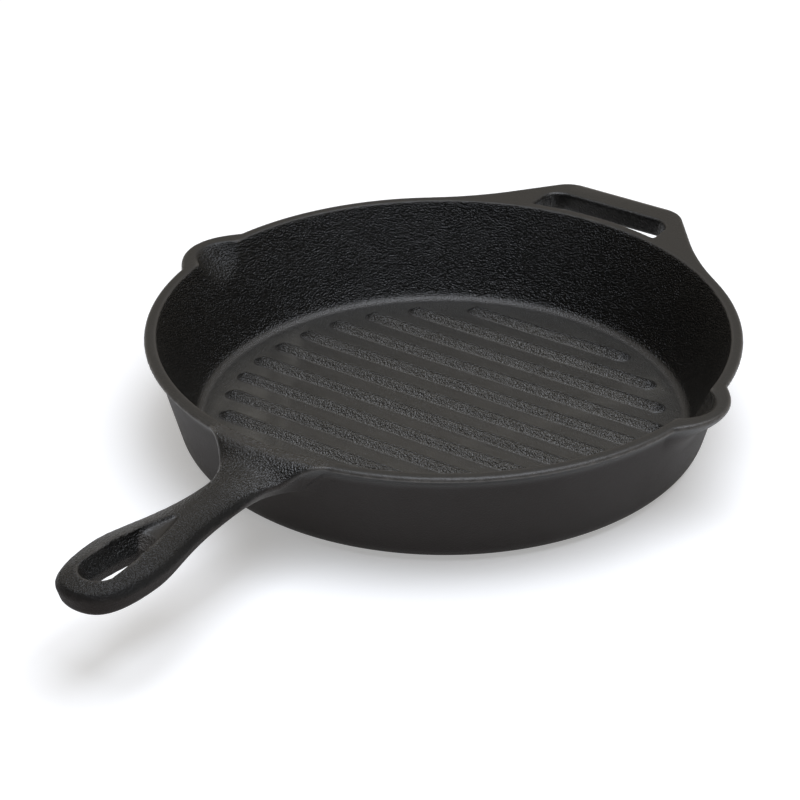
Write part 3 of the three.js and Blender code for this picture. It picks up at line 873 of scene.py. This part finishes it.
def makeIron():
    material = bpy.data.materials.new("seasonedSandCastIron")
    material.use_nodes = True
    tree = material.node_tree
    shader = tree.nodes["Principled BSDF"]
    place = addNode(tree, "ShaderNodeTexCoord").outputs["Object"]
    grain, wearAndLight, brown, scoured, dry = [
        addNode(tree, "ShaderNodeAttribute", {"attribute_name": name}).outputs["Fac"]
        for name in ("grain", "wearAndLight", "brown", "scoured", "dry")]
    sand = addNode(tree, "ShaderNodeTexNoise", None, {
        "Vector": place, "Scale": 1 / (iron["sandGrain"] * mm),
        "Detail": 1.5, "Roughness": 0.5}).outputs["Fac"]
    wave = addNode(tree, "ShaderNodeTexNoise", None, {
        "Vector": place, "Scale": 1 / (iron["wave"] * mm), "Detail": 2.0}).outputs["Fac"]
    blotch = addNode(tree, "ShaderNodeTexNoise", None, {
        "Vector": place, "Scale": 1 / (iron["blotch"] * mm),
        "Detail": 4.0, "Roughness": 0.6}).outputs["Fac"]

    # colour: patchy skin, then the brown and scoured places over it, then worn metal with the painted
    # highlights
    patches = addNode(tree, "ShaderNodeMapRange", None, {
        "Value": blotch, "From Min": 0.35, "From Max": 0.7}).outputs["Result"]
    tone = addNode(tree, "ShaderNodeMix", {"data_type": "RGBA"}, {
        "Factor": patches, "A": hexToLinear(iron["skin"]), "B": hexToLinear(iron["skinGrey"])})
    along = addNode(tree, "ShaderNodeMapping", None, {
        "Vector": place, "Scale": (1, iron["scuffStretch"], 1)}).outputs["Vector"]
    scuff = addNode(tree, "ShaderNodeTexNoise", None, {
        "Vector": along, "Scale": 1 / (iron["scuff"] * mm),
        "Detail": 4.0, "Roughness": 0.7}).outputs["Fac"]
    streaks = addNode(tree, "ShaderNodeMapRange", None, {
        "Value": scuff, "From Min": 0.3, "From Max": 0.7,
        "To Min": iron["scuffShare"], "To Max": 1.0}).outputs["Result"]
    scoured = addNode(tree, "ShaderNodeMath", {"operation": "MULTIPLY"}, {
        0: scoured, 1: streaks}).outputs["Value"]
    for mask, colour in ((brown, "brown"), (scoured, "scoured"), (wearAndLight, "wornAndLit")):
        tone = addNode(tree, "ShaderNodeMix", {"data_type": "RGBA"}, {
            "Factor": mask, "A": tone.outputs["Result"], "B": hexToLinear(iron[colour])})
    tree.links.new(tone.outputs["Result"], shader.inputs["Base Color"])

    # sheen: sharper on the sand's bumps, duller where the skin is dry
    gloss = addNode(tree, "ShaderNodeMapRange", None, {
        "Value": grain, "To Min": iron["smoothRoughness"],
        "To Max": iron["grainRoughness"]}).outputs["Result"]
    spread = addNode(tree, "ShaderNodeMapRange", None, {
        "Value": blotch, "To Min": -iron["blotchRoughness"],
        "To Max": iron["blotchRoughness"]}).outputs["Result"]
    rough = addNode(tree, "ShaderNodeMath", {"operation": "ADD"}, {0: gloss, 1: spread}).outputs["Value"]
    dull = addNode(tree, "ShaderNodeMath", {"operation": "MULTIPLY_ADD"}, {
        0: dry, 1: iron["dryRoughness"], 2: rough}).outputs["Value"]
    tree.links.new(dull, shader.inputs["Roughness"])
    sheen = addNode(tree, "ShaderNodeMapRange", None, {
        "Value": dry, "To Min": iron["specular"], "To Max": iron["drySpecular"]}).outputs["Result"]
    tree.links.new(sheen, shader.inputs["Specular IOR Level"])

    # relief: slow waves, fine skin, sand grain
    slow = addNode(tree, "ShaderNodeBump", None, {
        "Height": wave, "Distance": iron["waveDepth"] * mm, "Strength": 0.6})
    fine = addNode(tree, "ShaderNodeTexNoise", None, {
        "Vector": place, "Scale": 1 / (iron["fineGrain"] * mm), "Detail": 1.0}).outputs["Fac"]
    skin = addNode(tree, "ShaderNodeBump", None, {
        "Height": fine, "Distance": iron["fineDepth"] * mm, "Strength": 1.0,
        "Normal": slow.outputs["Normal"]})
    pebble = addNode(tree, "ShaderNodeBump", None, {
        "Height": sand, "Distance": iron["grainDepth"] * mm, "Strength": grain,
        "Normal": skin.outputs["Normal"]})
    tree.links.new(pebble.outputs["Normal"], shader.inputs["Normal"])
    return material


castIron = makeIron()
for obj in [pan] + ribs:
    obj.data.materials.clear()
    obj.data.materials.append(castIron)
print("cast iron on", 1 + len(ribs), "pieces")


# Studio

studio = {
    "azimuth": -55.236,
    "elevation": 29.687,
    "distance": 1093.0,
    "roll": -0.253,
    "lens": 118.9,
    "target": (-64.98, -22.06, 48.07),
    "floorHalf": 9000,
    "floorZ": -0.2,
    "floorColour": "#e8e8e8",
    "floorLift": 0.36,
    "skyColour": "#fff5e6",
    "brightSide": (0.94, 0.34, 0.85),
    "fadeFrom": 0.1,
    "fadeTo": 0.95,
    "dimLevel": 0.06,
    "brightLevel": 0.47,
    "lampColour": "#eef4ff",
    "lampPlace": (0.0, -0.25, 1.6),  # m
    "lampSize": 1.4,
    "lampPower": 27,
}


def makeCamera():
    a, e, roll = (radians(studio[k]) for k in ("azimuth", "elevation", "roll"))
    back = Vector((sin(a) * cos(e), -cos(a) * cos(e), sin(e)))
    right = Vector((cos(a), sin(a), 0))
    up = back.cross(right)
    right, up = right * cos(roll) + up * sin(roll), up * cos(roll) - right * sin(roll)
    place = (Vector(studio["target"]) + back * studio["distance"]) * mm
    data = bpy.data.cameras.new("camera")
    data.lens = studio["lens"]
    data.sensor_width = 36
    data.clip_end = 50
    camera = bpy.data.objects.new("camera", data)
    camera.matrix_world = Matrix.Translation(place) @ Matrix((right, up, back)).transposed().to_4x4()
    bpy.context.scene.collection.objects.link(camera)
    bpy.context.scene.camera = camera


def makeFloor():
    # pale paper: its own shadow stays, and rays that show it as a background see it as white
    half, z = studio["floorHalf"], studio["floorZ"]
    corners = [(-half, -half, z), (half, -half, z), (half, half, z), (-half, half, z)]
    floor = makeObject("floor", corners, [(0, 1, 2, 3)])
    paper = bpy.data.materials.new("mattWhitePaper")
    paper.use_nodes = True
    tree = paper.node_tree
    shader = tree.nodes["Principled BSDF"]
    shader.inputs["Base Color"].default_value = hexToLinear(studio["floorColour"])
    shader.inputs["Roughness"].default_value = 0.9
    rays = addNode(tree, "ShaderNodeLightPath")
    seen = rays.outputs["Is Camera Ray"]
    for name in ("Is Glossy Ray", "Is Transmission Ray"):
        seen = addNode(tree, "ShaderNodeMath", {"operation": "MAXIMUM"}, {
            0: seen, 1: rays.outputs[name]}).outputs["Value"]
    lift = addNode(tree, "ShaderNodeMath", {"operation": "MULTIPLY"}, {
        0: seen, 1: studio["floorLift"]}).outputs["Value"]
    shader.inputs["Emission Color"].default_value = (1, 1, 1, 1)
    tree.links.new(lift, shader.inputs["Emission Strength"])
    floor.data.materials.append(paper)


def makeWorld():
    # bright above and behind the pan, dim on the camera's side
    world = bpy.data.worlds.new("studio")
    world.use_nodes = True
    tree = world.node_tree
    direction = addNode(tree, "ShaderNodeTexCoord").outputs["Generated"]
    towards = addNode(tree, "ShaderNodeVectorMath", {"operation": "DOT_PRODUCT"}, {
        0: direction, 1: studio["brightSide"]}).outputs["Value"]
    level = addNode(tree, "ShaderNodeMapRange", {"interpolation_type": "SMOOTHSTEP"}, {
        "Value": towards, "From Min": studio["fadeFrom"], "From Max": studio["fadeTo"],
        "To Min": studio["dimLevel"], "To Max": studio["brightLevel"]}).outputs["Result"]
    tree.links.new(level, tree.nodes["Background"].inputs["Strength"])
    tree.nodes["Background"].inputs["Color"].default_value = hexToLinear(studio["skyColour"])
    bpy.context.scene.world = world


def makeLamp():
    # one large softbox overhead, aimed at the pan
    place = Vector(studio["lampPlace"])
    data = bpy.data.lights.new("topSoftbox", "AREA")
    data.shape = "SQUARE"
    data.size = studio["lampSize"]
    data.energy = studio["lampPower"]
    data.color = hexToLinear(studio["lampColour"])[:3]
    lamp = bpy.data.objects.new("topSoftbox", data)
    lamp.location = place
    lamp.rotation_euler = (-place).to_track_quat("-Z", "Y").to_euler()
    bpy.context.scene.collection.objects.link(lamp)


makeCamera()
makeFloor()
makeLamp()
makeWorld()
bpy.context.scene.view_settings.view_transform = "Standard"
print("studio set")
